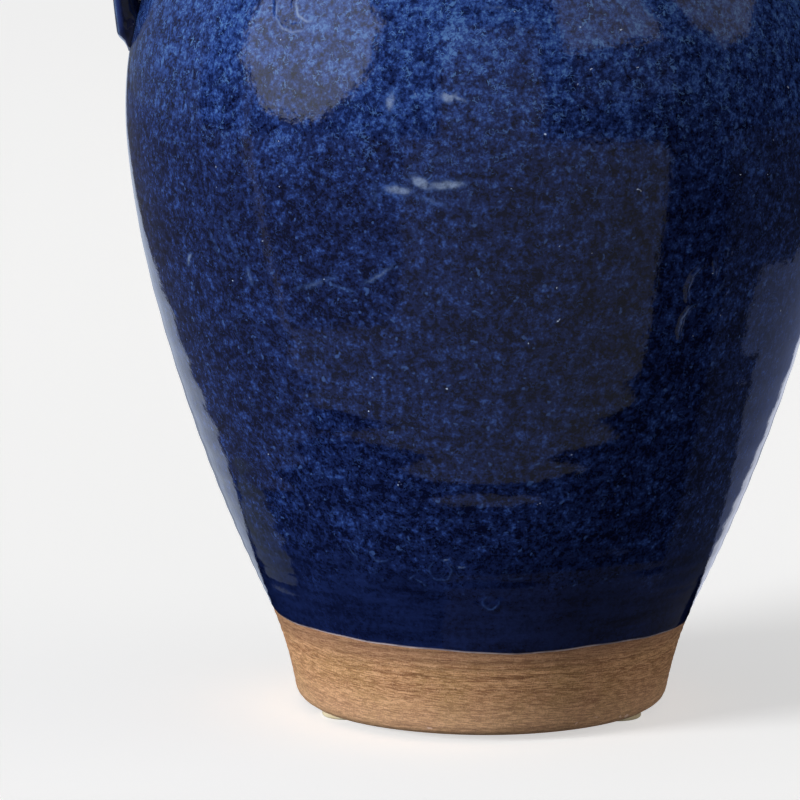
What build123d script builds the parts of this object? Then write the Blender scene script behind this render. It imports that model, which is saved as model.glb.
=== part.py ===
from build123d import *
import os

# A thrown two-handled flower vase: a jar of fired clay, bare at the foot, with a glaze coat outside
# and another inside, two strap handles from the shoulder to the neck, and three pads under the foot.
# Millimetres. +Z is up, the origin is on the floor under the middle of the foot, the handles are on X.

# The jar
TOTAL_HEIGHT = 385.0
BELLY_RADIUS = 143.2
BELLY_HEIGHT = 243.0
WALL = 8.0
FLOOR_THICKNESS = 12.0
LIP_ROUND = 6.5

# The outside is a chain of smooth arcs each way from the widest ring, as radius and turn in degrees.
# A positive turn closes in towards the axis, and a negative one is hollow.
BELLY_TO_FOOT = [(160.0, 6.2), (400.0, 8.2), (672.0, 11.0), (160.0, -15.0)]
SHOULDER_TO_LIP = [(145.0, 18.0), (80.0, 57.0), (20.0, -113.0)]

# The foot
FOOT_EDGE_ROUND = 7.0
RECESS_RADIUS = 47.0
RECESS_DEPTH = 3.0

# The glaze coats
GLAZE = 1.0
GLAZE_LINE = 36.0

# The handles
HANDLE_WIDTH = 33.0
HANDLE_THICKNESS = 10.5
HANDLE_EDGE_ROUND = 4.6
HANDLE_REACH = 147.0
HANDLE_LEAN = 7.5
HANDLE_BEND = 40.0
HANDLE_BEND_HEIGHT = 319.0
HANDLE_FOOT_HEIGHT = 267.0
HANDLE_ROOT_RADIUS = 60.0

# The pads
PAD_THICKNESS = 2.0
PAD_RADIUS = 10.0
PAD_CIRCLE = 60.0
PAD_EDGE_ROUND = 0.6
PAD_ANGLES = {"front_left_pad": 206.0, "front_right_pad": 334.0, "rear_pad": 90.0}

# A helper size, well outside the vase in every direction.
BEYOND = 400.0


def arc_chain(arcs, way, depth):
    """The arcs from the widest ring, up or down (way 1 or -1), at a depth below the surface."""
    at = Vector(BELLY_RADIUS - depth, BELLY_HEIGHT)
    heading = Vector(0, way)
    chain = []
    for radius, turn in arcs:
        inset_radius = radius - depth if turn > 0 else radius + depth
        chain.append(JernArc(at, heading, inset_radius, way * turn))
        at = chain[-1] @ 1
        heading = chain[-1] % 1
    return chain


def run_on(chain, height):
    """A straight line that carries a chain on to a height."""
    at = chain[-1] @ 1
    heading = chain[-1] % 1
    return Line(at, at + heading * ((height - at.Y) / heading.Y))


def lip_centre():
    """The middle of the rolled lip, on the middle of the wall."""
    upper = arc_chain(SHOULDER_TO_LIP, 1, WALL / 2)
    return run_on(upper, TOTAL_HEIGHT - LIP_ROUND) @ 1


def filled(depth):
    """Half of the jar's section, filled to the axis, at a depth below its outside."""
    lower = arc_chain(BELLY_TO_FOOT, -1, depth)
    upper = arc_chain(SHOULDER_TO_LIP, 1, depth)
    lower.append(run_on(lower, PAD_THICKNESS))
    upper.append(run_on(upper, lip_centre().Y))
    foot = lower[-1] @ 1
    top = upper[-1] @ 1
    closing = Polyline(top, (0, top.Y), (0, foot.Y), foot)
    return make_face(lower + upper + closing.edges())


def ring_section(radius, low, high):
    """A rectangle from the axis out to a radius, between two heights."""
    return Pos(radius / 2, (low + high) / 2) * Rectangle(radius, high - low)


def jar_sections():
    """Half sections of the jar's three solids: the clay, the outer coat and the inner coat."""
    floor_top = PAD_THICKNESS + FLOOR_THICKNESS
    middle = lip_centre()
    above_line = ring_section(BEYOND, GLAZE_LINE, BEYOND)
    lip = Pos(middle) * Circle(LIP_ROUND)
    clay_lip = Pos(middle) * Circle(LIP_ROUND - GLAZE)
    hollow = filled(WALL) & ring_section(BEYOND, floor_top, BEYOND)
    clay_hollow = filled(WALL - GLAZE) & ring_section(BEYOND, floor_top - GLAZE, BEYOND)
    recess = ring_section(RECESS_RADIUS, 0, PAD_THICKNESS + RECESS_DEPTH)
    outside = filled(0)
    foot_edge = outside.vertices().filter_by_position(Axis.Y, 0, PAD_THICKNESS).sort_by(Axis.X)[-1]
    outside = fillet(foot_edge, FOOT_EDGE_ROUND)
    clay = (outside - above_line) + (filled(GLAZE) & above_line) - clay_hollow - recess + clay_lip
    coat = (outside - hollow + lip) - clay - recess
    inner_side = filled(WALL / 2) + ring_section(middle.X, middle.Y, BEYOND)
    return clay, coat - inner_side, coat & inner_side


def spin(section):
    """Turn a half section, drawn with height along Y, about the jar's axis, with its seam at the back."""
    return revolve(Plane.YZ * section, Axis.Z)


def strap():
    """The strap at +X, from a round tongue on the shoulder up and over to inside the neck wall."""
    bend_centre = Vector(HANDLE_REACH - HANDLE_BEND, HANDLE_BEND_HEIGHT)
    bend = CenterArc(bend_centre, HANDLE_BEND, -HANDLE_LEAN, 90 + HANDLE_LEAN)
    drop = (HANDLE_FOOT_HEIGHT - (bend @ 0).Y) / (bend % 0).Y
    rising = Line((bend @ 0) + (bend % 0) * drop, bend @ 0)
    level = Line(bend @ 1, (HANDLE_ROOT_RADIUS, (bend @ 1).Y))
    path = Plane.XZ * Wire([rising, bend, level])
    section = (path ^ 0) * RectangleRounded(HANDLE_THICKNESS, HANDLE_WIDTH, HANDLE_EDGE_ROUND)
    tongue_middle = HANDLE_FOOT_HEIGHT + HANDLE_WIDTH / 2
    tongue = Pos(0, tongue_middle) * Circle(HANDLE_WIDTH / 2)
    above_tongue = Pos(0, tongue_middle + BEYOND / 2) * Rectangle(HANDLE_WIDTH, BEYOND)
    return sweep(section, path=path) & extrude(Plane.YZ * (tongue + above_tongue), BEYOND)


def pad(angle):
    """One bumper pad at an angle seen from above, turned from +X."""
    disc = extrude(Circle(PAD_RADIUS), PAD_THICKNESS)
    disc = fillet(disc.edges().group_by(Axis.Z)[0], PAD_EDGE_ROUND)
    return Rot(0, 0, angle) * Pos(PAD_CIRCLE, 0, 0) * disc


def build():
    """Every node's name with its solid."""
    clay_section, outer_section, inner_section = jar_sections()
    right_strap = strap()
    left_strap = mirror(right_strap, Plane.YZ)
    under_glaze = spin(filled(GLAZE))
    nodes = {
        "clay_body": spin(clay_section),
        "outer_glaze": spin(outer_section) - right_strap - left_strap,
        "inner_glaze": spin(inner_section),
        "left_handle": left_strap - under_glaze,
        "right_handle": right_strap - under_glaze,
    }
    for name, angle in PAD_ANGLES.items():
        nodes[name] = pad(angle)
    return nodes


os.makedirs("parts", exist_ok=True)
for name, solid in build().items():
    export_step(solid, f"parts/{name}.step")
    print(name, round(solid.volume / 1000.0, 2), "cm3", len(solid.solids()), "solid(s)")
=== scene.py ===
import math

import bmesh
import bpy
import numpy as np
from mathutils import Matrix, Vector
from mathutils.kdtree import KDTree


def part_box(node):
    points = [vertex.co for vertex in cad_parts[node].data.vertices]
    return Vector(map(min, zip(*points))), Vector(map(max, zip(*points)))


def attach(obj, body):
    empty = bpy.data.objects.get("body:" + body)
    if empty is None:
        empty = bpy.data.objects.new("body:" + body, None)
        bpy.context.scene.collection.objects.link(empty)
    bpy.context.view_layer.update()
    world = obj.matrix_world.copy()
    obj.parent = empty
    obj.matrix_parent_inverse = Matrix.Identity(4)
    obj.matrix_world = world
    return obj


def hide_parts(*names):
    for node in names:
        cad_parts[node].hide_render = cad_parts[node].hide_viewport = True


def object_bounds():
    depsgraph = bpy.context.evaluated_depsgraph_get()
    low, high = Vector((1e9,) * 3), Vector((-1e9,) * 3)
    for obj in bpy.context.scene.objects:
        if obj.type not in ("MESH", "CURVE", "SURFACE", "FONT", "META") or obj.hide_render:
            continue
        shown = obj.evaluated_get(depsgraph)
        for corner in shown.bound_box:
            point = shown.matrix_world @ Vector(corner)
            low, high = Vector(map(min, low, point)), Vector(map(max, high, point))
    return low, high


# The looks of a two-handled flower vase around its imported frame.
# Metres, +Z up. The front is at -Y, and the handles are on X.

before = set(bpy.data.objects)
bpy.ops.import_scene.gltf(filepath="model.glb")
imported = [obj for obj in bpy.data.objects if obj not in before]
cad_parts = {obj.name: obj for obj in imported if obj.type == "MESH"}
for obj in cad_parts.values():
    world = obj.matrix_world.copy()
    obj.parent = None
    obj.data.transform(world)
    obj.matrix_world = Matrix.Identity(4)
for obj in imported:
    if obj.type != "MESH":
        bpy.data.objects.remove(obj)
CAD_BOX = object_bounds()
MM = 0.001

# ---------------- sizes

TOTAL_HEIGHT = CAD_BOX[1].z
BELLY_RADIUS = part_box("outer_glaze")[1].y
BELLY_HEIGHT = 0.243
GLAZE_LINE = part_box("outer_glaze")[0].z
FOOT_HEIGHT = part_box("clay_body")[0].z
WALL = 0.008
LIP_ROUND = 0.0065
BASE_THICKNESS = 0.012
FLOOR_TOP = FOOT_HEIGHT + BASE_THICKNESS
FOOT_EDGE_ROUND = 0.007
RECESS_RADIUS = 0.047
RECESS_DEPTH = 0.003
RECESS_SLOPE = 1.5 * MM
FLOOR_BLEND = 9 * MM
FLOOR_DISH = 0.6 * MM
LIP_BLEND = 2.5 * MM

# The outside as smooth arcs each way from the widest ring: radius, and turn in degrees towards the axis.
# A negative turn bends away from it.
BELLY_TO_FOOT = [(0.160, 6.2), (0.400, 8.2), (0.672, 11.0), (0.160, -15.0)]
SHOULDER_TO_LIP = [(0.145, 18.0), (0.080, 57.0), (0.020, -113.0)]

FINE = 0.25 * MM
COLUMNS = 300
ROW_STEP = 2.2 * MM


# ---------------- the jar's outline

def follow(arcs, way):
    """Points (radius, height) along the outside from the widest ring, up or down."""
    at = np.array([BELLY_RADIUS, BELLY_HEIGHT])
    lean = 0.0
    points = [at]
    for radius, turn in arcs:
        bend = math.copysign(radius, turn)
        steps = max(2, int(radius * math.radians(abs(turn)) / FINE))
        for step in range(1, steps + 1):
            now = lean + math.radians(turn) * step / steps
            run = np.array([math.cos(now) - math.cos(lean), way * (math.sin(now) - math.sin(lean))])
            points.append(at + bend * run)
        at = points[-1]
        lean += math.radians(turn)
    return np.array(points), at, lean


def resample(points, step):
    """The same polyline with even steps."""
    length = np.concatenate([[0], np.cumsum(np.linalg.norm(np.diff(points, axis=0), axis=1))])
    even = np.linspace(0, length[-1], max(2, int(round(length[-1] / step)) + 1))
    return np.column_stack([np.interp(even, length, points[:, i]) for i in range(2)])


def soften(points, reach, first, last):
    """Rounds the corners of an evenly stepped polyline between two of its points."""
    half = int(reach / FINE)
    window = np.hanning(2 * half + 1)
    window /= window.sum()
    padded = np.pad(points, ((half, half), (0, 0)), mode="edge")
    smooth = np.column_stack([np.convolve(padded[:, i], window, mode="valid") for i in range(2)])
    result = points.copy()
    result[first:last] = smooth[first:last]
    return result


def outward(points):
    """Unit normals of a polyline, on its right-hand side as it runs."""
    along = np.gradient(points, axis=0)
    along /= np.linalg.norm(along, axis=1)[:, None]
    return np.column_stack([along[:, 1], -along[:, 0]])


def jar_outline():
    """The whole outline, from the middle of the underside up, over the lip, and down to the inner floor."""
    lower, foot_top, foot_lean = follow(BELLY_TO_FOOT, -1)
    upper, neck_top, flare = follow(SHOULDER_TO_LIP, 1)
    heading = np.array([-math.sin(flare), math.cos(flare)])
    lip_height = TOTAL_HEIGHT - LIP_ROUND
    inward = np.array([-heading[1], heading[0]])
    run = (lip_height - (neck_top + inward * WALL / 2)[1]) / heading[1]
    lip = neck_top + inward * WALL / 2 + heading * run
    down = np.array([-math.sin(foot_lean), -math.cos(foot_lean)])
    corner = foot_top + down * (foot_top[1] - FOOT_HEIGHT) / math.cos(foot_lean)
    back = FOOT_EDGE_ROUND * math.tan((math.pi / 2 - foot_lean) / 2)
    edge_centre = np.array([corner[0] - back, FOOT_HEIGHT + FOOT_EDGE_ROUND])
    angles = np.linspace(-math.pi / 2, -foot_lean, 60)
    edge = edge_centre + FOOT_EDGE_ROUND * np.column_stack([np.cos(angles), np.sin(angles)])
    recess_top = FOOT_HEIGHT + RECESS_DEPTH
    underside = [(0, recess_top), (RECESS_RADIUS - RECESS_SLOPE, recess_top), (RECESS_RADIUS, FOOT_HEIGHT)]
    rising = np.vstack([lower[::-1][:-1], upper, (neck_top + heading * run)[None]])
    rising = rising[np.linalg.norm(rising - lip, axis=1) > LIP_ROUND]
    wall_normals = outward(rising)
    inside = (rising - wall_normals * WALL)[::-1]
    clear_of_lip = np.linalg.norm(inside - lip, axis=1) > LIP_ROUND
    inside = inside[(inside[:, 1] > FLOOR_TOP + FLOOR_BLEND) & clear_of_lip]
    turn = np.arctan2(*(rising[-1] - lip)[::-1])
    end = np.arctan2(*(inside[0] - lip)[::-1])
    lip_angles = np.linspace(turn, end + (2 * math.pi if end < turn else 0), 80)
    bead = lip + LIP_ROUND * np.column_stack([np.cos(lip_angles), np.sin(lip_angles)])
    floor_edge = inside[-1][0] - 7 * MM
    floor = [(floor_edge, FLOOR_TOP + FLOOR_DISH), (floor_edge / 2, FLOOR_TOP), (0, FLOOR_TOP)]
    outline = resample(np.vstack([underside, edge, rising, bead, inside, floor]), FINE)
    near_lip = np.where(np.linalg.norm(outline - lip, axis=1) < 3 * LIP_ROUND)[0]
    outline = soften(outline, LIP_BLEND, near_lip[0], near_lip[-1])
    past_lip = np.arange(len(outline)) > near_lip[-1]
    inner = np.where((outline[:, 1] < FLOOR_TOP + 30 * MM) & past_lip)[0]
    return soften(outline, FLOOR_BLEND, inner[0], len(outline) - 1)


OUTLINE = jar_outline()
NORMALS = outward(OUTLINE)
LENGTHS = np.arange(len(OUTLINE)) * FINE
CREST_POINT = int(np.argmax(OUTLINE[:, 1]))
CREST = LENGTHS[CREST_POINT]


def length_at(height):
    """How far along the outline a height is reached on the outside."""
    rising = OUTLINE[:CREST_POINT, 1]
    start = int(np.argmin(rising))
    return LENGTHS[start + int(np.argmax(rising[start:] >= height))]


LINE_LENGTH = length_at(GLAZE_LINE)


# ---------------- surface movement

rng = np.random.default_rng(7)


def waves(count, longest, shortest, sway):
    """Random ring waves: wavelength, phase, phase of the sway, sway, sways over the turn."""
    lengths = np.geomspace(longest, shortest, count)
    return [(length, *rng.uniform(0, 2 * math.pi, 2), rng.uniform(0.2, 1) * sway, int(rng.integers(1, 3)))
            for length in lengths]


# The main rings lie further apart higher up: so many for each e-fold of height.
RINGS_PER_FOLD = 9.4
RING_START = 104.0 * MM
RING_SWAY = 0.012
RING_DEPTH = 0.10 * MM
# All rings fade over the RINGS_FADE below RINGS_GONE, and only a trace is left above it.
RINGS_GONE = 0.215
RINGS_FADE = 0.06
RINGS_TRACE = 0.05
# The surface is drawn in at the widest ring and the lip, where lumps would stand out of the CAD box.
DRAWN_IN = 0.3 * MM
DRAWN_IN_REACH = 0.05
LIP_START = 0.365
# Inside this radius the unevenness dies away.
EVEN_RADIUS = 0.05

THROWING = waves(8, 26 * MM, 6.0 * MM, 1.1)
LUMPS = [(times, *rng.uniform(0, 2 * math.pi, 2), rng.uniform(0.015, 0.045)) for times in (2, 3, 4, 5, 7)]


def throwing_rings(angle, along):
    """The potter's finger rings, as a height in metres."""
    total = np.zeros_like(angle + along)
    for length, phase, sway_phase, sway, turns in THROWING:
        swayed = along / length * 2 * math.pi + phase + sway * np.sin(turns * angle + sway_phase)
        total += np.sin(swayed) * (length / (24 * MM)) ** 0.6
    return total * 0.012 * MM


def lumps(angle, height):
    """Slow unevenness of a hand-thrown wall."""
    total = np.zeros_like(angle + height)
    for times, phase, tilt, size in LUMPS:
        total += size * np.sin(times * angle + phase + height / 0.11 * tilt)
    return total * MM


def jar_point(along, angle, depth):
    """Points of the jar at a length along the outline, an angle round it, and a depth below its surface."""
    along, angle, depth = np.broadcast_arrays(along, angle, depth)
    radius = np.interp(along, LENGTHS, OUTLINE[:, 0])
    height = np.interp(along, LENGTHS, OUTLINE[:, 1])
    out_radius = np.interp(along, LENGTHS, NORMALS[:, 0])
    out_height = np.interp(along, LENGTHS, NORMALS[:, 1])
    fade = np.clip(radius / EVEN_RADIUS, 0, 1)
    near_belly = np.exp(-((height - BELLY_HEIGHT) / DRAWN_IN_REACH) ** 2)
    near_lip = np.clip((height - LIP_START) / 0.01, 0, 1)
    calm = RINGS_TRACE + (1 - RINGS_TRACE) * np.clip((RINGS_GONE - height) / RINGS_FADE, 0, 1)
    climb = np.log(RING_START / np.maximum(height, RING_START / 4)) + RING_SWAY * np.sin(angle + 0.6)
    spiral = RING_DEPTH * np.sin(2 * math.pi * RINGS_PER_FOLD * climb)
    uneven = calm * (throwing_rings(angle, along) + spiral) + lumps(angle, height)
    push = fade * uneven - depth - DRAWN_IN * (near_belly + near_lip)
    radius = radius + push * out_radius
    height = height + push * out_height
    return np.stack([radius * np.sin(angle), -radius * np.cos(angle), height], axis=-1)


# ---------------- mesh helpers

def make_object(name, vertices, faces):
    """A smooth-shaded mesh object with its normals outwards."""
    mesh = bpy.data.meshes.new(name)
    mesh.from_pydata(np.asarray(vertices).reshape(-1, 3).tolist(), [], faces)
    mesh.update()
    piece = bpy.data.objects.new(name, mesh)
    bpy.context.collection.objects.link(piece)
    work = bmesh.new()
    work.from_mesh(mesh)
    bmesh.ops.remove_doubles(work, verts=work.verts, dist=1e-7)
    bmesh.ops.recalc_face_normals(work, faces=work.faces)
    work.to_mesh(mesh)
    work.free()
    mesh.polygons.foreach_set("use_smooth", [True] * len(mesh.polygons))
    return piece


def ring_faces(rows, columns, wrap=False):
    """Quads between neighbouring rings, and with wrap also from the last ring to the first."""
    faces = []
    for row in range(rows if wrap else rows - 1):
        low = row * columns
        high = ((row + 1) % rows) * columns
        for column in range(columns):
            after = (column + 1) % columns
            faces.append((low + column, low + after, high + after, high + column))
    return faces


def end_fans(rows, columns):
    """Triangles from the first and the last ring to two middle points that come after the rings."""
    count = rows * columns
    last = count - columns
    faces = []
    for column in range(columns):
        after = (column + 1) % columns
        faces.append((column, after, count))
        faces.append((last + column, last + after, count + 1))
    return faces


def turn_angles(columns):
    """Even angles once round the turn."""
    return np.arange(columns) * 2 * math.pi / columns


def coat_rows(rows, columns):
    """Columns of lengths along the outline and of depths, and a row of angles, to combine into a grid."""
    along, depth = np.array(rows).T[:, :, None]
    return along, turn_angles(columns)[None, :], depth


# ---------------- glaze and clay

# The glaze line's mean rise in millimetres, and its waves: times round the turn, size, phase.
LINE_RISE = 2.8
LINE_WAVES = [(1, 1.98, 3.0), (3, 0.52, -0.6), (5, 0.62, -2.3), (9, 0.31, 3.1), (26, 0.10, 0.8)]


def glaze_line(angle):
    """How far the wavy edge of the glaze stands above the coat's lowest ring, round the jar."""
    return MM * (LINE_RISE + sum(size * np.sin(times * angle + phase) for times, size, phase in LINE_WAVES))


RIDGE_WIDTH = 1.0 * MM
RIDGE_REACH = 4 * MM
SMEAR_AND_HIGHLIGHT_REACH = 3 * MM
RIM_WIDTH = 1.6 * MM
STROKE_STEP = 0.35 * MM
LINE_END = int(0.2 / FINE)

# The coat's lower edge rolls under: place along the outline, and depth, in millimetres.
ROLLED_EDGE = [(0.0, 0.95), (-0.15, 0.75), (-0.1, 0.45), (0.15, 0.2), (0.6, 0.04), (1.4, 0.0)]


def outer_glaze():
    """The cobalt coat: a thin shell from its wavy lower edge, over the lip and a little inside."""
    inside_end = CREST + 16 * MM
    rows = [(LINE_LENGTH + along * MM, depth * MM) for along, depth in ROLLED_EDGE]
    straight = np.linspace(rows[-1][0], inside_end, int((inside_end - rows[-1][0]) / ROW_STEP))[1:]
    rows += [(along, 0.0) for along in straight]
    rows += [(along, 0.9 * MM) for along in np.linspace(inside_end, LINE_LENGTH + MM, 44)]
    along, angle, depth = coat_rows(rows, COLUMNS)
    fade = np.clip(1 - (along - LINE_LENGTH) / (40 * MM), 0, 1) ** 2
    points = jar_point(along + glaze_line(angle) * fade, angle, depth)
    return raise_scars(make_object("outer_glaze_coat", points, ring_faces(len(rows), COLUMNS, wrap=True)))


# Raised strokes in the coat, in degrees and millimetres: angle and height of the start, heading, length,
# bend per millimetre, height of the ridge.
RIDGES = [
    (36.8, 196.5, 188, 18, 6.2, 0.6), (36.2, 181.5, 212, 17, 5.6, 0.62), (38.6, 199, -65, 8, -2, 0.42),
    (40.8, 202.5, 10, 5, -24, 0.42), (42.6, 185, 235, 4, 3, 0.38), (40.6, 178.5, 215, 6, -4, 0.38),
    (-37.6, 299, -102, 30, 5.6, 0.3), (-34.2, 300, -95, 20, 6.8, 0.24), (-9.6, 79, 5, 24, -13.5, 0.3),
    (0.3, 63.5, 200, 15, 17.5, 0.22), (-26, 80.5, -75, 10, 13, 0.3), (130, 210, -60, 24, 4, 0.5),
    (205, 250, 20, 20, -3, 0.45), (170, 190, -80, 16, 6, 0.45), (88, 230, 30, 15, 5, 0.45),
]

# Pale smears in the coat, and painted highlights traced along the S-shaped ridges at the right and the loop
# ridges near the top, with a half width and a strength in place of the ridge's height.
SMEARS_AND_RIDGE_HIGHLIGHTS = [
    (-15.6, 259, 68, 7, 0, 2.2, 0.85), (-7.6, 265, 15, 6, 0, 2.5, 1), (-6.2, 266.4, -18, 8, 1, 1, 0.8),
    (-16.3, 229.8, 5, 12, 0, 2.2, 0.85), (-11.8, 234.3, -20, 8, 0, 2.5, 1),
    (-9.5, 231, -5, 15, 0, 2.1, 0.9), (-11.5, 227.6, -8, 14, 0, 1.4, 0.5),
    (-3.3, 222.4, 78, 9, 0, 0.8, 0.5), (-8.9, 240.5, 35, 10, -3, 2.2, 0.35),
    (-6.6, 259, -80, 5, 0, 1.8, 0.35), (-16.5, 256, -55, 8, 0, 1.8, 0.35),
    (-32.5, 187.3, 8, 20, 0.7, 1.5, 0.5), (-27, 191.5, -5, 13, 0, 0.8, 0.45),
    (-20.5, 191.5, 24, 17, 1.2, 1.1, 0.6), (-58, 189.5, 60, 7, -4, 1.3, 0.8),
    (-42, 194, -80, 8, 3, 1.5, 0.55), (-12.2, 253.6, -50, 6.5, 0, 0.4, 1.2),
    (-11.8, 267, -58, 4.5, 0, 0.4, 1.2), (-9.3, 244.4, -35, 3, 0, 0.4, 1.1),
    (-12.1, 239.2, -60, 1.5, 0, 0.45, 1.1), (-9.9, 217.2, -38, 5.5, 0, 0.4, 0.9),
    (-7.8, 211, -72, 12, 0, 0.35, 0.45), (-4.5, 173, -88, 9, 0, 0.35, 0.6), (48, 178, -70, 6, 0, 0.6, 0.4),
    (47, 165, 5, 12, 0, 0.7, 0.35), (-9.4, 79.3, -12, 3, 0, 0.55, 0.9),
    (-6.3, 76.6, -8, 3.5, 0, 0.55, 0.85), (-9.6, 79, 5, 24, -13.5, 0.6, 0.42),
    (0.6, 63.8, 215, 15, 19, 0.6, 0.45), (-26, 80.5, -75, 10, 13, 0.6, 0.5),
    (-31.5, 84, -62, 12, 2, 0.6, 0.5), (-17.8, 69.6, 28, 4, 0, 0.5, 0.5),
    (-16.2, 70.8, -48, 6, 0, 0.5, 0.5), (7.5, 79, -20, 24, -14, 0.7, 0.3),
    # These two trace the loop ridges near the top: painted highlights on them.
    (-36.9, 299, -102, 27, 6, 0.8, 0.8), (-33.4, 300, -95, 17, 7.4, 0.9, 0.9),
    (-28, 297, -100, 13, 2, 1, 0.4), (-16, 287, -60, 14, 3, 1, 0.4), (-2, 297, 0, 14, -2, 1.1, 0.5),
    (150, 262, -10, 16, 3, 1.2, 0.6), (188, 232, 170, 12, 5, 1, 0.5), (120, 254, 40, 10, -6, 0.8, 0.5),
    # These trace the S-shaped ridges at the right: painted highlights on their crests.
    (36.5, 196.5, 188, 17, 6.4, 0.5, 0.75), (35.9, 181.5, 212, 15, 5.8, 0.5, 0.75),
    (38.4, 199, -65, 8, -2, 0.5, 0.6), (40.8, 202.5, 10, 5, -24, 0.6, 0.8),
    (41.9, 191, 250, 9, -5, 0.6, 0.5), (-18, 222, 75, 12, 4, 1.6, 0.35), (-46, 214, -70, 22, 1, 1.6, 0.35),
    (-50, 206, -62, 16, 1, 1.3, 0.4), (-24, 281, -65, 18, 2, 1.5, 0.35),
]


def stroke(angle, height, heading, length, bend):
    """Points along a wandering stroke on the outside, and the share of its length at each."""
    angle, height, heading = math.radians(angle), height * MM, math.radians(heading)
    count = int(length * MM / STROKE_STEP)
    wander = rng.uniform(0, 2 * math.pi)
    places = []
    for index in range(count):
        radius = np.interp(length_at(height), LENGTHS, OUTLINE[:, 0])
        places.append((Vector((radius * math.sin(angle), -radius * math.cos(angle), height)), index / count))
        heading += math.radians(bend) * STROKE_STEP / MM + 0.10 * math.sin(index * 0.45 + wander)
        angle += STROKE_STEP * math.cos(heading) / radius
        height += STROKE_STEP * math.sin(heading)
    return places


def stroke_tree(strokes):
    """A search tree of all the strokes' points, and the width and strength at each."""
    found = []
    for *line, width, size in strokes:
        for place, share in stroke(*line):
            found.append((place, width, size * math.sin(math.pi * (0.1 + 0.8 * share)) ** 0.6))
    tree = KDTree(len(found))
    for index, (place, _, _) in enumerate(found):
        tree.insert(place, index)
    tree.balance()
    return tree, found


def faces_outwards(normal, place):
    """Whether a normal points away from the jar's axis."""
    return normal.dot(place * Vector((1, 1, 0))) > 0


def raise_scars(piece):
    """Refines the coat along the strokes, lifts the ridges, and marks the smears, the painted ridge
    highlights and the thin lower edge.
    """
    ridge_tree, ridges = stroke_tree([(*ridge[:5], RIDGE_WIDTH / MM, ridge[5]) for ridge in RIDGES])
    smear_and_highlight_tree, smears_and_highlights = stroke_tree(SMEARS_AND_RIDGE_HIGHLIGHTS)
    work = bmesh.new()
    work.from_mesh(piece.data)
    work.normal_update()
    near = []
    for face in work.faces:
        middle = face.calc_center_median()
        by_stroke = ridge_tree.find(middle)[2] < RIDGE_REACH or smear_and_highlight_tree.find(middle)[2] < SMEAR_AND_HIGHLIGHT_REACH
        if by_stroke and faces_outwards(face.normal, middle):
            near.append(face)
    edges = list(dict.fromkeys(edge for face in near for edge in face.edges))
    bmesh.ops.subdivide_edges(work, edges=edges, cuts=4, use_grid_fill=True)
    work.normal_update()
    pale = work.verts.layers.float.new("pale")
    rim = work.verts.layers.float.new("rim")
    for vertex in work.verts:
        place = vertex.co.copy()
        angle = math.atan2(place.x, -place.y)
        line = np.interp(LINE_LENGTH + glaze_line(angle), LENGTHS[:LINE_END], OUTLINE[:LINE_END, 1])
        vertex[rim] = min(max(1 - (place.z - line) / RIM_WIDTH, 0), 1)
        if not faces_outwards(vertex.normal, place):
            continue
        # The pale share holds the smears, and the painted highlights where a stroke traces a ridge.
        _, index, distance = smear_and_highlight_tree.find(place)
        _, width, size = smears_and_highlights[index]
        vertex[pale] = size * math.exp(-(distance / (width * MM)) ** 2)
        _, index, distance = ridge_tree.find(place)
        if distance < RIDGE_REACH:
            away = distance / RIDGE_WIDTH
            shape = math.exp(-away ** 2) - 0.22 * math.exp(-(away - 2) ** 2)
            vertex.co += vertex.normal * ridges[index][2] * MM * shape
    work.to_mesh(piece.data)
    work.free()
    return piece


def inner_glaze():
    """The coat inside: a thin shell from just under the lip down to the floor of the jar."""
    columns = COLUMNS // 2
    top = np.linspace(CREST + 14 * MM, LENGTHS[-1] - MM, 120)
    rows = [(along, 0.15 * MM) for along in top] + [(along, 0.95 * MM) for along in top[::-3]]
    points = jar_point(*coat_rows(rows, columns))
    return make_object("inner_glaze_coat", points, ring_faces(len(rows), columns, wrap=True))


# Fine grooves left by the trimming tool: spacing in millimetres, phase, and sways over the turn.
TRIMMING = [(6.1, 0.3, 1), (3.7, 1.1, 2), (2.6, 4.0, 1), (1.9, 2.2, 3)]


def clay_body():
    """The clay: underside, foot, and the wall hidden under both coats of glaze."""
    line = LINE_LENGTH
    visible = np.concatenate([np.linspace(2 * MM, line - 34 * MM, 30, endpoint=False),
                              np.linspace(line - 34 * MM, line + 4 * MM, 84)])
    hidden = np.linspace(line + 5 * MM, LENGTHS[-1] - MM, 130)
    along = np.concatenate([visible, hidden])[:, None]
    angle = turn_angles(COLUMNS)[None, :]
    under = np.clip((along - line - glaze_line(angle) - 0.5 * MM) / (3 * MM), 0, 1)
    trimmed = sum(np.sin(along / (length * MM) * 2 * math.pi + phase + 1.6 * np.sin(turns * angle + phase))
                  for length, phase, turns in TRIMMING)
    depth = 0.2 * MM + 1.1 * MM * under + 0.022 * MM * trimmed
    points = jar_point(along, angle, depth)
    rows = len(points)
    faces = ring_faces(rows, COLUMNS) + end_fans(rows, COLUMNS)
    ends = [points[0].mean(axis=0), points[-1].mean(axis=0)]
    return make_object("clay_jar", np.vstack([points.reshape(-1, 3), *ends]), faces)


# ---------------- handles

HANDLE_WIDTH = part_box("right_handle")[1].y * 2
HANDLE_THICKNESS = 0.0105
HANDLE_REACH = CAD_BOX[1].x - HANDLE_THICKNESS / 2
HANDLE_BEND = 0.040
HANDLE_BEND_HEIGHT = 0.319
HANDLE_LEAN = math.radians(7.5)
HANDLE_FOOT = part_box("right_handle")[0].z
NECK_ROOT = 0.060
STRAP_STEP = 0.9 * MM
STRAP_COLUMNS = 88
TONGUE_WIDENS = 17 * MM
TONGUE_THICKENS = 6 * MM
SQUARENESS = 0.62
CROWN = 0.16
LUTING_REACH = 4.0 * MM
LUTING_SPREAD = 3.2 * MM


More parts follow.
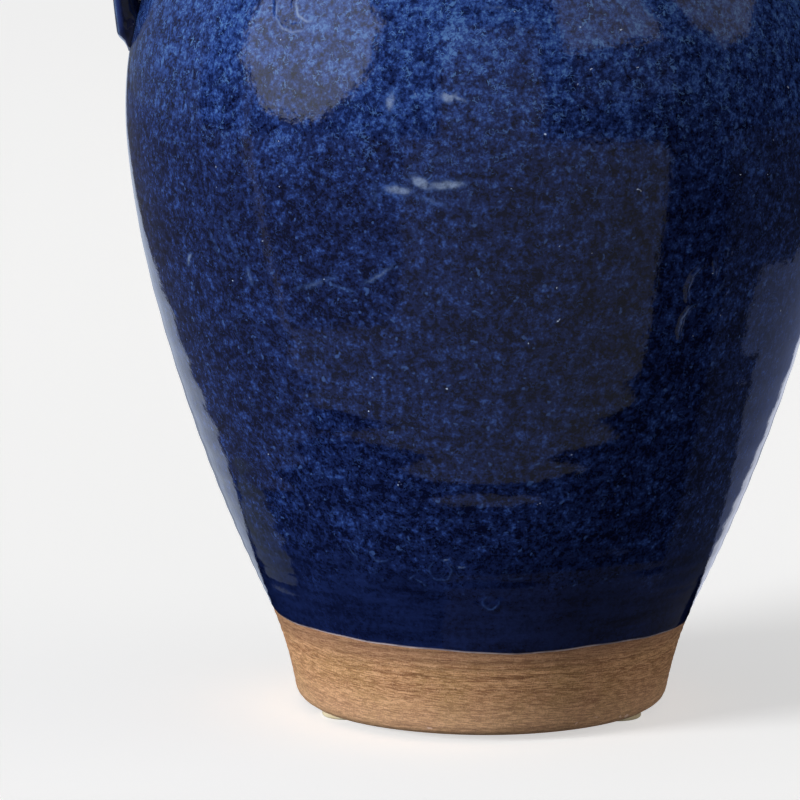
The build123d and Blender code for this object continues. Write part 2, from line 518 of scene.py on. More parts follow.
def handle_path():
    """The middle line of the strap at +X: points (x, z), from the tongue up and over into the neck."""
    centre = np.array([HANDLE_REACH - HANDLE_BEND, HANDLE_BEND_HEIGHT])
    turn = np.linspace(-HANDLE_LEAN, math.pi / 2, 160)
    bend = centre + HANDLE_BEND * np.column_stack([np.cos(turn), np.sin(turn)])
    drop = (bend[0][1] - HANDLE_FOOT) / math.cos(HANDLE_LEAN)
    foot = bend[0] - drop * np.array([math.sin(HANDLE_LEAN), math.cos(HANDLE_LEAN)])
    root = (NECK_ROOT, centre[1] + HANDLE_BEND)
    return resample(np.vstack([foot, bend, root]), STRAP_STEP)


def surface_distance(points):
    """Distance of points above the jar's outside, and the outward normal there."""
    radius = np.hypot(points[:, 0], points[:, 1])
    outline, normals = OUTLINE[:CREST_POINT:4], NORMALS[:CREST_POINT:4]
    offset = np.column_stack([radius, points[:, 2]])[:, None, :] - outline[None]
    nearest = np.argmin((offset ** 2).sum(-1), axis=1)
    pick = np.arange(len(points))
    distance = (offset[pick, nearest] * normals[nearest]).sum(-1)
    radial = normals[nearest, 0] / np.maximum(radius, 1e-6)
    normal = np.column_stack([points[:, 0] * radial, points[:, 1] * radial, normals[nearest, 1]])
    return distance, normal


def strap_size(along):
    """Half the width and half the thickness along the strap, rounded off at the tongue."""
    tip = np.clip(along / TONGUE_WIDENS, 0, 1)
    waist = 1 - 0.06 * np.sin(along / 0.11 * math.pi)
    width = HANDLE_WIDTH / 2 * (0.12 + 0.88 * np.sqrt(1 - (1 - tip) ** 2)) * waist
    rounded = np.clip(along / TONGUE_THICKENS, 0, 1)
    thick = HANDLE_THICKNESS / 2 * (0.9 + 0.1 * np.cos(along / 0.15 * 2 * math.pi))
    return width, thick * (0.25 + 0.75 * np.sqrt(1 - (1 - rounded) ** 2))


def tube_normals(grid, middle):
    """Unit normals of a tube of points, away from its middle line."""
    lengthways = np.gradient(grid, axis=0)
    sideways = np.roll(grid, -1, axis=1) - np.roll(grid, 1, axis=1)
    normal = np.cross(lengthways, sideways)
    normal[((grid - middle[:, None]) * normal).sum(-1) < 0] *= -1
    normal = normal.reshape(-1, 3)
    return normal / np.maximum(np.linalg.norm(normal, axis=1), 1e-12)[:, None]


def lute(points, normal):
    """Spreads a strap's points over the jar's surface where the two are pressed together."""
    distance, surface = surface_distance(points)
    tangential = normal - (normal * surface).sum(-1)[:, None] * surface
    spread = LUTING_SPREAD * np.clip(1 - np.maximum(distance, 0) / LUTING_REACH, 0, 1) ** 3
    spread = np.where(distance > -2 * MM, spread, LUTING_SPREAD)
    return points + tangential * spread[:, None]


def handle(name, side):
    """One pulled strap, its tongue smeared on to the shoulder and its root on to the neck."""
    path = handle_path()
    rows = len(path)
    along = np.linspace(0, (rows - 1) * STRAP_STEP, rows)
    out = outward(path)
    width, thick = strap_size(along)
    sink = HANDLE_THICKNESS / 2 - thick
    spin = turn_angles(STRAP_COLUMNS)
    across = np.sign(np.cos(spin)) * np.abs(np.cos(spin)) ** SQUARENESS
    over = np.sign(np.sin(spin)) * np.abs(np.sin(spin)) ** SQUARENESS
    crown = 1 + CROWN * (np.cos(across * math.pi) - 1) * 0.5 * (over > 0)
    lift = over[None, :] * crown[None, :] * thick[:, None] - sink[:, None] * 0.8
    wobble = 0.25 * MM * np.sin(along[:, None] / 0.031 + 1.3 * np.sin(spin)[None, :] + side)
    lateral = across[None, :] * width[:, None] + wobble
    x = path[:, 0][:, None] + out[:, 0][:, None] * lift
    z = path[:, 1][:, None] + out[:, 1][:, None] * lift
    grid = np.stack([x, lateral, z], axis=-1)
    middle = np.stack([path[:, 0], np.zeros(rows), path[:, 1]], axis=-1)
    points = lute(grid.reshape(-1, 3), tube_normals(grid, middle))
    points[:, 0] *= side
    faces = ring_faces(rows, STRAP_COLUMNS)
    faces.append(tuple(range(STRAP_COLUMNS)))
    faces.append(tuple(range((rows - 1) * STRAP_COLUMNS, rows * STRAP_COLUMNS)))
    piece = make_object(name, points, faces)
    # Painted highlight: a light streak along the front and back edges of the strap's outer face, stored as
    # pale.
    painted_highlight = np.exp(-((np.abs(across) - 0.72) / 0.09) ** 2) * (over > 0.3)
    # The outer share picks the blue outer face; the side towards the jar gets painted shade.
    outer = np.clip((over - 0.2) / 0.5, 0, 1)
    for key, share in (("pale", painted_highlight), ("outer", outer)):
        piece.data.attributes.new(key, "FLOAT", "POINT").data.foreach_set("value", np.tile(share, rows))
    return piece


# ---------------- pads

PAD_COLUMNS = 96

# The rim of a pad from its top face down: share of the radius, and share of the thickness.
PAD_PROFILE = [(0.5, 1.0), (0.9, 1.0), (0.955, 0.97), (0.985, 0.8), (1.0, 0.5), (0.985, 0.2),
               (0.95, 0.04), (0.9, 0.0), (0.5, 0.0)]


def pad(name, node):
    """A soft bumper pad, bulging a little under the load, with a rounded rim."""
    low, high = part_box(node)
    centre = (low + high) / 2
    radius = (high.x - low.x) / 2
    thickness = high.z - low.z
    points = []
    for share, level in PAD_PROFILE:
        for angle in turn_angles(PAD_COLUMNS):
            points.append((centre.x + radius * share * math.cos(angle),
                           centre.y + radius * share * math.sin(angle), low.z + thickness * level))
    points += [(centre.x, centre.y, high.z), (centre.x, centre.y, low.z)]
    rows = len(PAD_PROFILE)
    return make_object(name, points, ring_faces(rows, PAD_COLUMNS) + end_fans(rows, PAD_COLUMNS))


# ---------------- materials

class Nodes:
    """A material's node tree, with short calls to add and link nodes."""

    def __init__(self, name):
        self.material = bpy.data.materials.new(name)
        self.material.use_nodes = True
        self.tree = self.material.node_tree
        self.shader = self.tree.nodes["Principled BSDF"]
        self.place = self.add("ShaderNodeNewGeometry").outputs["Position"]

    def add(self, kind, **settings):
        """A new node with these settings."""
        node = self.tree.nodes.new(kind)
        for key, value in settings.items():
            setattr(node, key, value)
        return node

    def feed(self, socket, value):
        """Links a socket, or sets its value."""
        if isinstance(value, bpy.types.NodeSocket):
            self.tree.links.new(value, socket)
        else:
            socket.default_value = value

    def math(self, operation, *values):
        node = self.add("ShaderNodeMath", operation=operation)
        for socket, value in zip(node.inputs, values):
            self.feed(socket, value)
        return node.outputs[0]

    def times(self, first, second):
        return self.math("MULTIPLY", first, second)

    def plus(self, first, second):
        return self.math("ADD", first, second)

    def about_zero(self, value):
        """A noise of 0 to 1, moved to lie evenly about 0."""
        return self.math("SUBTRACT", value, 0.5)

    def texture(self, kind, place, **settings):
        """The outputs of a texture node at a place, with these inputs."""
        node = self.add(kind)
        self.feed(node.inputs["Vector"], place)
        for key, value in settings.items():
            node.inputs[key].default_value = value
        return node.outputs

    def noise(self, scale, detail, rough, place=None, distort=0.0):
        place = self.place if place is None else place
        return self.texture("ShaderNodeTexNoise", place, Scale=scale, Detail=detail, Roughness=rough,
                            Distortion=distort)["Fac"]

    def cells(self, scale, warp):
        """Distance to the middle of the nearest cell, and a number for each cell."""
        swirl = self.texture("ShaderNodeTexNoise", self.place, Scale=scale * 1.5)["Color"]
        shift = self.add("ShaderNodeVectorMath", operation="MULTIPLY_ADD")
        for socket, value in zip(shift.inputs, (swirl, (warp / scale,) * 3, self.place)):
            self.feed(socket, value)
        cell = self.texture("ShaderNodeTexVoronoi", shift.outputs[0], Scale=scale)
        return cell["Distance"], self.split(cell["Color"])[0]

    def ramp(self, value, low, high, start=0.0, end=1.0):
        """A smooth step from start to end as a value goes from low to high."""
        node = self.add("ShaderNodeMapRange", interpolation_type="SMOOTHSTEP")
        for key, setting in (("Value", value), ("From Min", low), ("From Max", high),
                             ("To Min", start), ("To Max", end)):
            self.feed(node.inputs[key], setting)
        return node.outputs["Result"]

    def mix(self, share, first, second):
        node = self.add("ShaderNodeMix", data_type="RGBA")
        self.feed(node.inputs[0], share)
        for socket, value in ((node.inputs[6], first), (node.inputs[7], second)):
            self.feed(socket, (*value, 1.0) if isinstance(value, tuple) else value)
        return node.outputs[2]

    def mark(self, name):
        """A number stored on the mesh's points."""
        return self.add("ShaderNodeAttribute", attribute_name=name).outputs["Fac"]

    def split(self, vector):
        node = self.add("ShaderNodeSeparateXYZ")
        self.feed(node.inputs[0], vector)
        return node.outputs

    def join(self, x, y, z):
        node = self.add("ShaderNodeCombineXYZ")
        for socket, value in zip(node.inputs, (x, y, z)):
            self.feed(socket, value)
        return node.outputs[0]

    def bump(self, height, distance, strength, before=None):
        node = self.add("ShaderNodeBump")
        self.feed(node.inputs["Height"], height)
        node.inputs["Distance"].default_value = distance
        node.inputs["Strength"].default_value = strength
        if before is not None:
            self.feed(node.inputs["Normal"], before)
        return node.outputs[0]

    def reach(self, x, y):
        """Distance from the jar's axis."""
        return self.math("SQRT", self.plus(self.times(x, x), self.times(y, y)))

    def around(self):
        """Cylinder coordinates: angle round the jar, distance from its axis, height."""
        x, y, z = self.split(self.place)
        return self.math("ARCTAN2", x, self.times(y, -1.0)), self.reach(x, y), z

    def show(self, surface):
        """Shows this shader output as the material's surface."""
        self.feed(self.tree.nodes["Material Output"].inputs["Surface"], surface)
        return self.material

    def finish(self, colour, roughness, normal):
        """Feeds the shader what varies over the surface."""
        for key, value in (("Base Color", colour), ("Roughness", roughness), ("Normal", normal)):
            self.feed(self.shader.inputs[key], value)
        return self.material


GLASS_IOR = 1.5
CLAY_IOR = 1.4

# Colours of the cobalt glass, from dark pools to thin skin over the clay.
POOL = (0.0028, 0.0046, 0.023)
NAVY = (0.0088, 0.0180, 0.084)
ROYAL = (0.027, 0.066, 0.27)
AZURE = (0.090, 0.205, 0.47)
CURL_LOW = (0.040, 0.095, 0.33)
CURL_HIGH = (0.105, 0.235, 0.55)
CLOT = (0.050, 0.110, 0.33)
PINHOLE = (0.50, 0.60, 0.85)
SMEAR_AND_HIGHLIGHT_THIN = (0.045, 0.105, 0.34)
SMEAR_AND_HIGHLIGHT_THICK = (0.25, 0.34, 0.56)
BARE_RIM = (0.66, 0.56, 0.60)


def glaze_level(n, angle, height, grain, patch, low):
    """How thin and bright the glass is: grains, clots, patches and throwing rings, brighter further up."""
    ringed = n.join(n.times(angle, 0.012), 0.0, height)
    fine = n.noise(1000.0, 2.0, 0.6)
    clot = n.noise(210.0, 2.0, 0.5, distort=0.3)
    rings = n.noise(190.0, 4.0, 0.62, place=ringed)
    mottle = n.times(n.plus(n.about_zero(grain), n.times(n.about_zero(fine), 0.6)), 2.5)
    level = n.plus(n.times(mottle, n.ramp(low, 0, 1, 0.28, 1.0)), n.ramp(height, 0.205, 0.320, 0.0, 0.57))
    for part, lowest, highest in ((patch, 0.25, 0.8), (clot, 0.2, 1.2), (rings, 0.9, 0.7)):
        level = n.plus(level, n.times(n.about_zero(part), n.ramp(low, 0, 1, lowest, highest)))
    return n.plus(level, n.ramp(low, 0.0, 1.0, 0.20, 0.27))


def glaze_curls(n, colour, height, low):
    """Broken pale curls between the grains, stronger further up."""
    curl = n.math("ABSOLUTE", n.about_zero(n.noise(420.0, 1.0, 0.5, distort=0.6)))
    broken = n.ramp(n.noise(240.0, 3.0, 0.6), 0.53, 0.60)
    strength = n.times(n.ramp(low, 0, 1, 0.0, 0.42), n.ramp(height, 0.20, 0.29, 0.8, 1.6))
    share = n.times(n.times(n.ramp(curl, 0.045, 0.012), broken), strength)
    return n.mix(share, colour, n.mix(n.ramp(height, 0.21, 0.29), CURL_LOW, CURL_HIGH))


def glaze_specks(n, colour, height, low):
    """Small clots of blue, and rare pale pinholes."""
    blob = n.ramp(n.noise(330.0, 1.0, 0.5), 0.70, 0.76)
    colour = n.mix(n.times(blob, n.ramp(low, 0, 1, 0.0, 0.7)), colour, CLOT)
    pin, chance = n.cells(170.0, 0.9)
    hole = n.times(n.ramp(pin, 0.075, 0.045), n.ramp(chance, 0.82, 0.83))
    return n.mix(n.times(hole, n.ramp(height, 0.08, 0.12)), colour, PINHOLE)


def glaze_marks(n, colour, patch):
    """The pale smears and the painted highlights along some ridges, and the thin rim over the clay at the
    coat's lower edge.
    """
    pale = n.mark("pale")
    smear_and_highlight = n.plus(pale, n.times(n.about_zero(n.noise(520.0, 4.0, 0.75)), 2.2))
    smear_and_highlight = n.times(n.ramp(smear_and_highlight, -0.15, 1.45), n.ramp(pale, 0.02, 0.35))
    # Pale smears, with painted highlights where they trace ridges.
    colour = n.mix(smear_and_highlight, colour, n.mix(n.ramp(pale, 0.30, 0.85), SMEAR_AND_HIGHLIGHT_THIN, SMEAR_AND_HIGHLIGHT_THICK))
    rim = n.times(n.ramp(n.mark("rim"), 0.3, 0.75), n.ramp(patch, 0.35, 0.6, 0.45, 1.0))
    return n.mix(rim, colour, BARE_RIM)


def cobalt_glaze(name):
    """Glossy cobalt glass over clay: navy broken by grains of blue that thicken towards the jar's top."""
    n = Nodes(name)
    angle, _, height = n.around()
    grain = n.noise(440.0, 4.0, 0.66)
    patch = n.noise(70.0, 3.0, 0.6, distort=0.4)
    low = n.ramp(n.plus(height, n.times(patch, 0.05)), 0.078, 0.120)
    level = glaze_level(n, angle, height, grain, patch, low)
    colour = n.mix(n.ramp(level, -0.1, 0.45), POOL, NAVY)
    colour = n.mix(n.ramp(level, 0.4, 1.0), colour, ROYAL)
    colour = n.mix(n.times(n.ramp(level, 0.88, 1.40), 0.75), colour, AZURE)
    colour = glaze_curls(n, colour, height, low)
    colour = glaze_specks(n, colour, height, low)
    colour = glaze_marks(n, colour, patch)
    n.shader.inputs["IOR"].default_value = GLASS_IOR
    pitted = n.bump(n.noise(150.0, 3.0, 0.55), 0.22 * MM, 0.6)
    normal = n.bump(grain, 0.05 * MM, 0.5, before=pitted)
    return n.finish(colour, n.ramp(grain, 0.3, 0.75, 0.03, 0.075), normal)


def strap_glaze(name):
    """The same glass, pooled thick and dark on the straps, with painted shade on their sides towards the jar
    and a painted highlight along the front and back edges of their outer faces.
    """
    n = Nodes(name)
    grain = n.noise(520.0, 3.0, 0.6)
    patch = n.noise(90.0, 3.0, 0.6)
    # Painted shade: the side of the strap towards the jar is painted near black.
    shaded_inner_side = n.mix(n.ramp(grain, 0.3, 0.7), (0.0018, 0.0026, 0.010), (0.0035, 0.0055, 0.024))
    blue = n.mix(n.ramp(patch, 0.3, 0.7), (0.0045, 0.0095, 0.052), (0.011, 0.026, 0.13))
    colour = n.mix(n.mark("outer"), shaded_inner_side, blue)
    # Painted highlight: the light blue streak along the strap's front and back edges.
    painted_highlight = n.times(n.mark("pale"), n.ramp(n.plus(grain, patch), 0.75, 1.2, 0.25, 0.85))
    colour = n.mix(painted_highlight, colour, (0.11, 0.23, 0.52))
    n.shader.inputs["IOR"].default_value = GLASS_IOR
    normal = n.bump(n.noise(170.0, 3.0, 0.55), 0.2 * MM, 0.5)
    return n.finish(colour, n.ramp(grain, 0.3, 0.75, 0.03, 0.08), normal)


# Colours of the fired clay.
CLAY_BROWN = (0.37, 0.182, 0.084)
CLAY_TAN = (0.56, 0.308, 0.150)
CLAY_OLIVE = (0.45, 0.272, 0.108)
FIBRE_PALE = (0.86, 0.515, 0.295)
FIBRE_DARK = (0.19, 0.080, 0.041)
GRIT_DARK = (0.15, 0.066, 0.042)
GRIT_PALE = (0.88, 0.58, 0.38)
FLASHED = (0.20, 0.095, 0.075)
FOOT_WORN = (0.70, 0.46, 0.31)
CHIPPED = (0.80, 0.56, 0.44)


def bare_clay(name):
    """Fired clay, brushed and trimmed round the foot: short level streaks of tan, brown and olive."""
    n = Nodes(name)
    angle, reach, height = n.around()
    squeezed = n.times(reach, 0.3)
    brushed = n.join(n.times(angle, 0.0085), squeezed, n.plus(height, n.times(angle, 0.0035)))
    levelled = n.join(n.times(angle, 0.0035), squeezed, height)
    fibre = n.noise(1900.0, 4.0, 0.74, place=brushed, distort=0.25)
    streak = n.noise(300.0, 4.0, 0.62, place=levelled)
    blotch = n.noise(55.0, 3.0, 0.6)
    grit = n.noise(1500.0, 2.0, 0.65)
    colour = n.mix(n.ramp(streak, 0.32, 0.68), CLAY_BROWN, CLAY_TAN)
    for share, most, other in ((n.ramp(blotch, 0.40, 0.62), 0.5, CLAY_OLIVE),
                               (n.ramp(fibre, 0.48, 0.60), 0.6, FIBRE_PALE),
                               (n.ramp(fibre, 0.50, 0.38), 0.65, FIBRE_DARK),
                               (n.ramp(grit, 0.55, 0.68), 0.55, GRIT_DARK),
                               (n.ramp(grit, 0.43, 0.31), 0.45, GRIT_PALE)):
        colour = n.mix(n.times(share, most), colour, other)
    under_line = n.ramp(n.plus(height, n.times(blotch, 0.006)), 0.031, 0.041)
    colour = n.mix(n.times(under_line, 0.45), colour, FLASHED)
    colour = n.mix(n.ramp(height, 0.024, 0.003, 0.0, 0.30), colour, FOOT_WORN)
    chip = n.times(n.ramp(n.noise(330.0, 2.0, 0.5), 0.665, 0.70), n.ramp(height, 0.0085, 0.0065))
    colour = n.mix(n.times(chip, n.ramp(height, 0.0035, 0.0045)), colour, CHIPPED)
    n.shader.inputs["IOR"].default_value = CLAY_IOR
    normal = n.bump(grit, 0.09 * MM, 0.7, before=n.bump(fibre, 0.14 * MM, 0.8))
    return n.finish(colour, n.ramp(fibre, 0.2, 0.8, 0.62, 0.82), normal)


def pad_rubber(name):
    """Cream rubber with a faint bloom of dust."""
    n = Nodes(name)
    cloud = n.noise(300.0, 3.0, 0.6)
    dust = n.noise(1400.0, 2.0, 0.6)
    colour = n.mix(n.ramp(cloud, 0.35, 0.7), (0.66, 0.56, 0.36), (0.76, 0.69, 0.50))
    return n.finish(colour, n.ramp(dust, 0.3, 0.7, 0.45, 0.7), n.bump(dust, 0.05 * MM, 0.6))


# ---------------- the studio

BACKGROUND = 0.863
FLOOR_GLOW = 0.526
ROOM_LIGHT = 0.10
ROOM_RADIUS = 9
BELLY_CENTRE = (0, 0, 0.25)
SOFTBOX_SIDES = 8
WHITE = (1.0, 1.0, 1.0)


def stage_object(name, mesh):
    """An object of the studio in the scene, for this mesh."""
    made = bpy.data.objects.new(name, mesh)
    bpy.context.collection.objects.link(made)
    return made


def plane_mesh(name, corners):
    """A flat stage mesh through these corners."""
    mesh = bpy.data.meshes.new(name)
    mesh.from_pydata([tuple(corner) for corner in corners], [], [tuple(range(len(corners)))])
    mesh.update()
    return stage_object(name, mesh)


def glowing(name, level, tint=WHITE, fade=None):
    """An emitting material, plain or fading upwards from one height to another."""
    n = Nodes(name)
    glow = n.add("ShaderNodeEmission")
    glow.inputs["Color"].default_value = (*tint, 1.0)
    glow.inputs["Strength"].default_value = level
    if fade:
        fall = n.add("ShaderNodeMapRange")
        n.feed(fall.inputs["Value"], n.split(n.place)["Z"])
        for key, value in zip(("From Min", "From Max", "To Min", "To Max"), (*fade, level, 0.0)):
            fall.inputs[key].default_value = value
        n.feed(glow.inputs["Strength"], fall.outputs[0])
    return n.show(glow.outputs[0])


def hide_from(made, *rays):
    """Leaves an object out of these kinds of ray."""
    for ray in rays:
        setattr(made, "visible_" + ray, False)


def only_in_gloss(card, level, tint, fade=None):
    """A card that glossy surfaces reflect, and that neither shows nor lights anything."""
    card.data.materials.append(glowing(card.name, level, tint, fade))
    hide_from(card, "camera", "diffuse", "shadow", "transmission", "volume_scatter")


def toward(azimuth, elevation, distance, target=BELLY_CENTRE):
    """A place seen from the vase at an azimuth from the front, positive to the right, and an elevation."""
    a, e = math.radians(azimuth), math.radians(elevation)
    way = Vector((math.sin(a) * math.cos(e), -math.cos(a) * math.cos(e), math.sin(e)))
    return Vector(target) + distance * way


def facing_card(name, azimuth, elevation, distance, radius, level, tint=WHITE):
    """A many-sided card that faces the vase."""
    place = toward(azimuth, elevation, distance)
    aim = (Vector(BELLY_CENTRE) - place).to_track_quat("Z", "Y").to_matrix()
    corners = []
    for corner in range(SOFTBOX_SIDES):
        a = 2 * math.pi * (corner + 0.5) / SOFTBOX_SIDES
        corners.append(place + aim @ Vector((radius * math.cos(a), radius * math.sin(a), 0)))
    only_in_gloss(plane_mesh(name, corners), level, tint)


def soft_sun(name, azimuth, elevation, spread, strength, tint=WHITE):
    """A broad even light from far away, left out of the reflections."""
    data = bpy.data.lights.new(name, "SUN")
    data.angle = math.radians(spread)
    data.energy = strength
    data.color = tint
    lamp = bpy.data.objects.new(name, data)
    bpy.context.collection.objects.link(lamp)
    lamp.location = toward(azimuth, elevation, 3)
    lamp.rotation_mode = "QUATERNION"
    lamp.rotation_quaternion = (-toward(azimuth, elevation, 1, (0, 0, 0))).to_track_quat("-Z", "Y")
    hide_from(lamp, "glossy")
    return data


def floor_material():
    """Matt pale floor that glows a little, and turns into the backdrop's even glow far out."""
    n = Nodes("floor")
    x, y, _ = n.split(n.place)
    far = n.ramp(n.reach(x, y), 0.9, 2.6)
    for key, value in (("Base Color", (0.8, 0.8, 0.8, 1)), ("Roughness", 1.0), ("Specular IOR Level", 0.0),
                       ("Emission Color", (1, 1, 1, 1)), ("Emission Strength", FLOOR_GLOW)):
        n.shader.inputs[key].default_value = value
    glow = n.add("ShaderNodeEmission")
    glow.inputs["Strength"].default_value = BACKGROUND
    blend = n.add("ShaderNodeMixShader")
    for socket, value in zip(blend.inputs, (far, n.shader.outputs[0], glow.outputs[0])):
        n.feed(socket, value)
    return n.show(blend.outputs[0])


def room():
    """Dim even room light, the floor, and a plain backdrop all round."""
    scene = bpy.context.scene
    scene.view_settings.view_transform = "Standard"
    world = bpy.data.worlds.new("room")
    scene.world = world
    world.use_nodes = True
    light = world.node_tree.nodes["Background"]
    light.inputs["Color"].default_value = (1, 1, 1, 1)
    light.inputs["Strength"].default_value = ROOM_LIGHT
    world.cycles_visibility.glossy = False
    world.cycles_visibility.camera = True

    angles = np.linspace(0, 2 * math.pi, 97)[:-1]
    floor = plane_mesh("floor", [(ROOM_RADIUS * math.cos(a), ROOM_RADIUS * math.sin(a), 0) for a in angles])
    floor.data.materials.append(floor_material())
    hide_from(floor, "glossy", "diffuse")

    dome = bpy.data.meshes.new("backdrop")
    work = bmesh.new()
    bmesh.ops.create_uvsphere(work, u_segments=48, v_segments=24, radius=ROOM_RADIUS)
    work.to_mesh(dome)
    work.free()
    backdrop = stage_object("backdrop", dome)
    dome.materials.append(glowing("backdrop", BACKGROUND))
    hide_from(backdrop, "diffuse", "glossy", "shadow")


def lamps():
    """A low soft key light from the left, and fainter fill from the right, the front and above."""
    soft_sun("key", -62, 14, 24, 3.3)
    soft_sun("fill", 82, 12, 50, 0.66, (1, 0.92, 0.86)).use_shadow = False
    soft_sun("front", 12, 10, 50, 0.20).use_shadow = False
    soft_sun("top", -62, 75, 60, 0.16)


def floor_card(name, corners, level, tint=WHITE, lift=0.5):
    """A pale part of the floor as the glaze reflects it."""
    only_in_gloss(plane_mesh(name, [(x, y, lift * MM) for x, y in corners]), level, tint)


def wall_card(name, low, high, level, tint=WHITE, distance=2.6, fade=None):
    """An upright card between two directions, given as azimuth and elevation from the belly."""
    corners = []
    for azimuth, elevation in ((low[0], low[1]), (high[0], low[1]), (high[0], high[1]), (low[0], high[1])):
        a = math.radians(azimuth)
        height = BELLY_CENTRE[2] + distance * math.tan(math.radians(elevation))
        corners.append((distance * math.sin(a), -distance * math.cos(a), height))
    only_in_gloss(plane_mesh(name, corners), level, tint, fade)


def cards_in_front():
    """The pale floor before the vase, the sweep behind the camera, and a bright edge at the left."""
    veil_left = [(-0.062, -0.197), (-0.094, -0.205), (-0.139, -0.205), (-0.212, -0.18), (-0.232, -0.157),
                 (-0.273, -0.155), (-0.335, -0.167), (-0.32, -0.215), (-0.26, -0.291), (-0.18, -0.366)]
    split = [(-0.235, -0.5), (-0.32, -0.68), (-0.95, -2), (-1.85, -3.7)]
    veil_right = [(0.3, -4.3), (1.55, -3.85), (2.21, -1.6), (1.52, -0.96), (0.617, -0.429), (0.425, -0.322),
                  (0.298, -0.233), (0.23, -0.202), (0.171, -0.197), (0.095, -0.203), (0.063, -0.197)]
    floor_card("floor_front", veil_left + split + veil_right, 0.215, (1, 1.02, 0.98))
    wall_card("sweep", (-15, -3.3), (17, 32), 0.225, (1, 1.04, 1.06), distance=4.05, fade=(1.2, 6))
    far_left = [(-0.335, -0.167), (-0.471, -0.197), (-0.716, -0.246), (-2.83, -0.62), (-3.2, -2.4)]
    near_left = [(-0.26, -0.291), (-0.32, -0.215)]
    floor_card("floor_front_left", far_left + split[::-1] + [(-0.18, -0.366)] + near_left, 0.085)
    edge = [(-0.273, -0.155), (-0.342, -0.167), (-0.471, -0.195), (-0.716, -0.244), (-2.83, -0.6)]
    outer_edge = [(-2.86, -0.43), (-0.722, -0.212), (-0.474, -0.176), (-0.344, -0.157), (-0.275, -0.149)]
    floor_card("floor_edge", edge + outer_edge, 0.34, lift=0.8)
    wall_card("edge_up", (-81.5, -5), (-78, 8), 0.2, distance=2.9)
    under_front = [(-0.03, -0.14), (0.06, -0.135), (0.12, -0.1), (0.17, 0), (0.16, 0.1), (0.07, 0),
                   (-0.03, -0.07)]
    floor_card("floor_under_front", under_front, 0.038, lift=0.1)


# Where the floor behind the vase meets the floor at its left, in the reflections.
REAR_LEFT = [(-0.271, 0.16), (-0.312, 0.217), (-0.35, 0.306), (-0.422, 0.436), (-0.454, 0.755),
             (-0.5, 2.4)]


def cards_behind():
    """The pale floor behind the vase, in three parts, and the wall behind it."""
    back_left = [(-0.11, 0.133), (-0.152, 0.122), (-0.192, 0.122), (-0.232, 0.128)]
    inner_left = [(-0.3, 2.4), (-0.245, 0.755), (-0.225, 0.436), (-0.19, 0.306), (-0.15, 0.217),
                  (-0.1, 0.15)]
    inner_right = [(0.3, 2.4), (0.24, 0.755), (0.2, 0.4), (0.1, 0.15)]
    floor_card("floor_back_left", back_left + REAR_LEFT + inner_left, 0.62, (0.92, 1.05, 1.3))
    floor_card("floor_back", inner_left[::-1] + inner_right, 0.34, (0.92, 1.05, 1.3))
    back_right = [(0.119, 0.127), (0.16, 0.114), (0.189, 0.166), (0.218, 0.231), (0.244, 0.316),
                  (0.275, 0.4), (0.33, 0.75), (0.42, 2.4)]
    floor_card("floor_back_right", back_right + inner_right, 0.86, (0.96, 1.02, 1.25))
    wall_card("wall_back", (172, -12), (188, 50), 0.95, distance=2.7)


def cards_at_the_sides():
    """The floor at each side, and the dim wall at the left."""
    side_right = [(0.122, 0.122), (0.176, 0.112), (0.24, 0.107), (0.285, 0.098), (0.333, 0.101),
                  (0.399, 0.125), (0.38, 0.056), (0.422, 0.03), (0.479, 0.032), (0.574, 0.095),
                  (0.571, 0.279), (0.75, 0.7), (0.9, 2.4), (0.42, 2.4), (0.33, 0.75), (0.275, 0.4),
                  (0.218, 0.231), (0.16, 0.126)]
    floor_card("floor_right", side_right, 0.17, (0.85, 1.05, 1.9), lift=0.3)
    beside = [(0.14, -0.03), (2.6, -0.5), (2.6, 2.4), (0.42, 2.4), (0.15, 0.12)]
    floor_card("floor_beside", beside, 0.03, (0.85, 1, 1.5), lift=0.1)
    left_near = [(-0.262, 0.085), (-0.222, 0.02), (-0.188, 0.004), (-0.16, -0.012), (-0.142, -0.012),
                 (-0.144, 0.034), (-0.149, 0.074), (-0.166, 0.101), (-0.2, 0.118)]
    floor_card("floor_left_near", left_near, 0.13, (0.95, 1.1, 1.1), lift=0.3)
    by_vase = [(-0.235, -0.15), (-0.222, -0.1), (-0.218, -0.03), (-0.222, 0.05), (-0.235, 0.12)]
    far_side = [(-2.6, 2.4), (-2.6, -0.45), (-0.716, -0.214), (-0.471, -0.176), (-0.344, -0.158),
                (-0.275, -0.15)]
    floor_card("floor_left", by_vase + REAR_LEFT + far_side, 0.085, lift=0.2)
    wall_card("wall_left", (-168, -12), (-100, 40), 0.13, (0.95, 1.05, 1.1), distance=2.7)


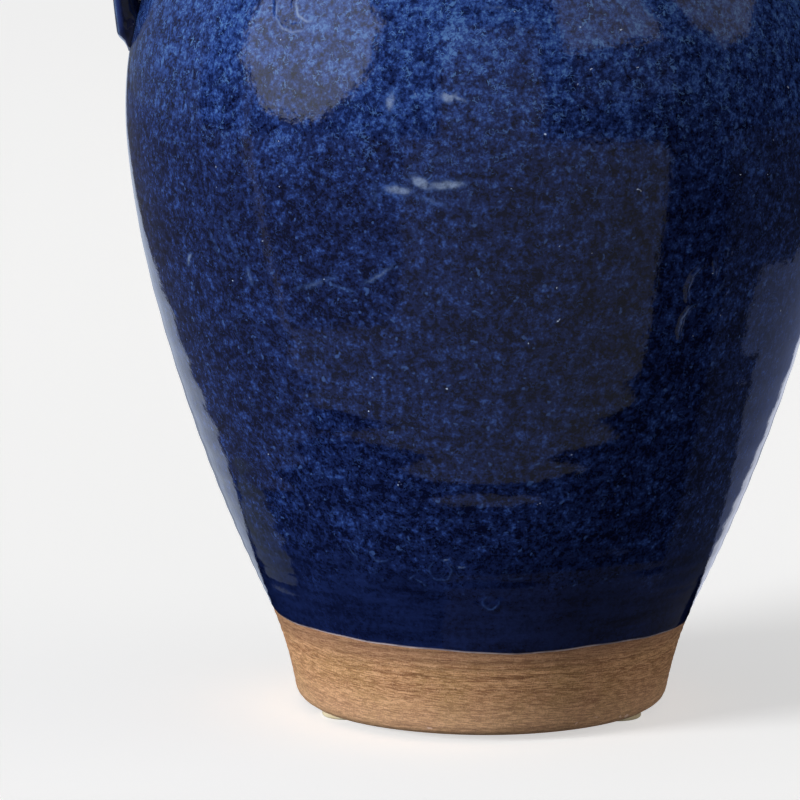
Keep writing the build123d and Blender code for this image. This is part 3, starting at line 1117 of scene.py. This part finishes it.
def softbox_cards():
    """The lamps' own faces, as the glaze reflects them."""
    facing_card("left_softbox", -61, 22, 1.5, 0.66, 1.5, (0.93, 1, 1.07))
    wall_card("right_softbox", (25.5, 21), (60, 50), 0.52)
    wall_card("right_softbox_skirt", (27, 6), (61, 19), 0.05)
    facing_card("far_right_softbox", 89, 29, 2.2, 0.62, 0.4)


CAMERA_ELEVATION = math.radians(10.5)
CAMERA_DISTANCE = 2.43
CAMERA_AIM = (-0.0333, 0, 0.12346)
CAMERA_LENS = 272.5
CAMERA_ROLL = math.radians(0.278)


def camera():
    """A long lens from a little above the vase, looking down on its lower three quarters."""
    data = bpy.data.cameras.new("camera")
    data.sensor_width = 36
    data.lens = CAMERA_LENS
    data.clip_start = 0.1
    data.clip_end = 40
    view = bpy.data.objects.new("camera", data)
    bpy.context.collection.objects.link(view)
    back = Vector((0, -math.cos(CAMERA_ELEVATION), math.sin(CAMERA_ELEVATION)))
    view.location = Vector(CAMERA_AIM) + back * CAMERA_DISTANCE
    looking = (-back).to_track_quat("-Z", "Y").to_matrix().to_4x4()
    roll = Matrix.Rotation(CAMERA_ROLL, 4, "Z")
    view.matrix_world = Matrix.Translation(view.location) @ looking @ roll
    bpy.context.scene.camera = view


# ---------------- assembly

def settle(piece, material, slot, *nodes):
    """Gives a piece its material and its body, and hides the CAD nodes that it stands for. The slot is not
    used.
    """
    piece.data.materials.append(material)
    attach(piece, "root")
    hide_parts(*nodes)


camera()
room()
lamps()
cards_in_front()
cards_behind()
cards_at_the_sides()
softbox_cards()
glaze = cobalt_glaze("cobalt_glaze")
handle_glaze = strap_glaze("handle_glaze")
settle(outer_glaze(), glaze, "cobalt_glaze", "outer_glaze")
settle(inner_glaze(), cobalt_glaze("inner_glaze"), "inner_glaze", "inner_glaze")
settle(clay_body(), bare_clay("clay"), "clay", "clay_body")
settle(handle("left_strap", -1), handle_glaze, "cobalt_glaze", "left_handle")
settle(handle("right_strap", 1), handle_glaze, "cobalt_glaze", "right_handle")
rubber = pad_rubber("pad_rubber")
for node in ("front_left_pad", "front_right_pad", "rear_pad"):
    settle(pad(node + "_disc", node), rubber, "pads", node)
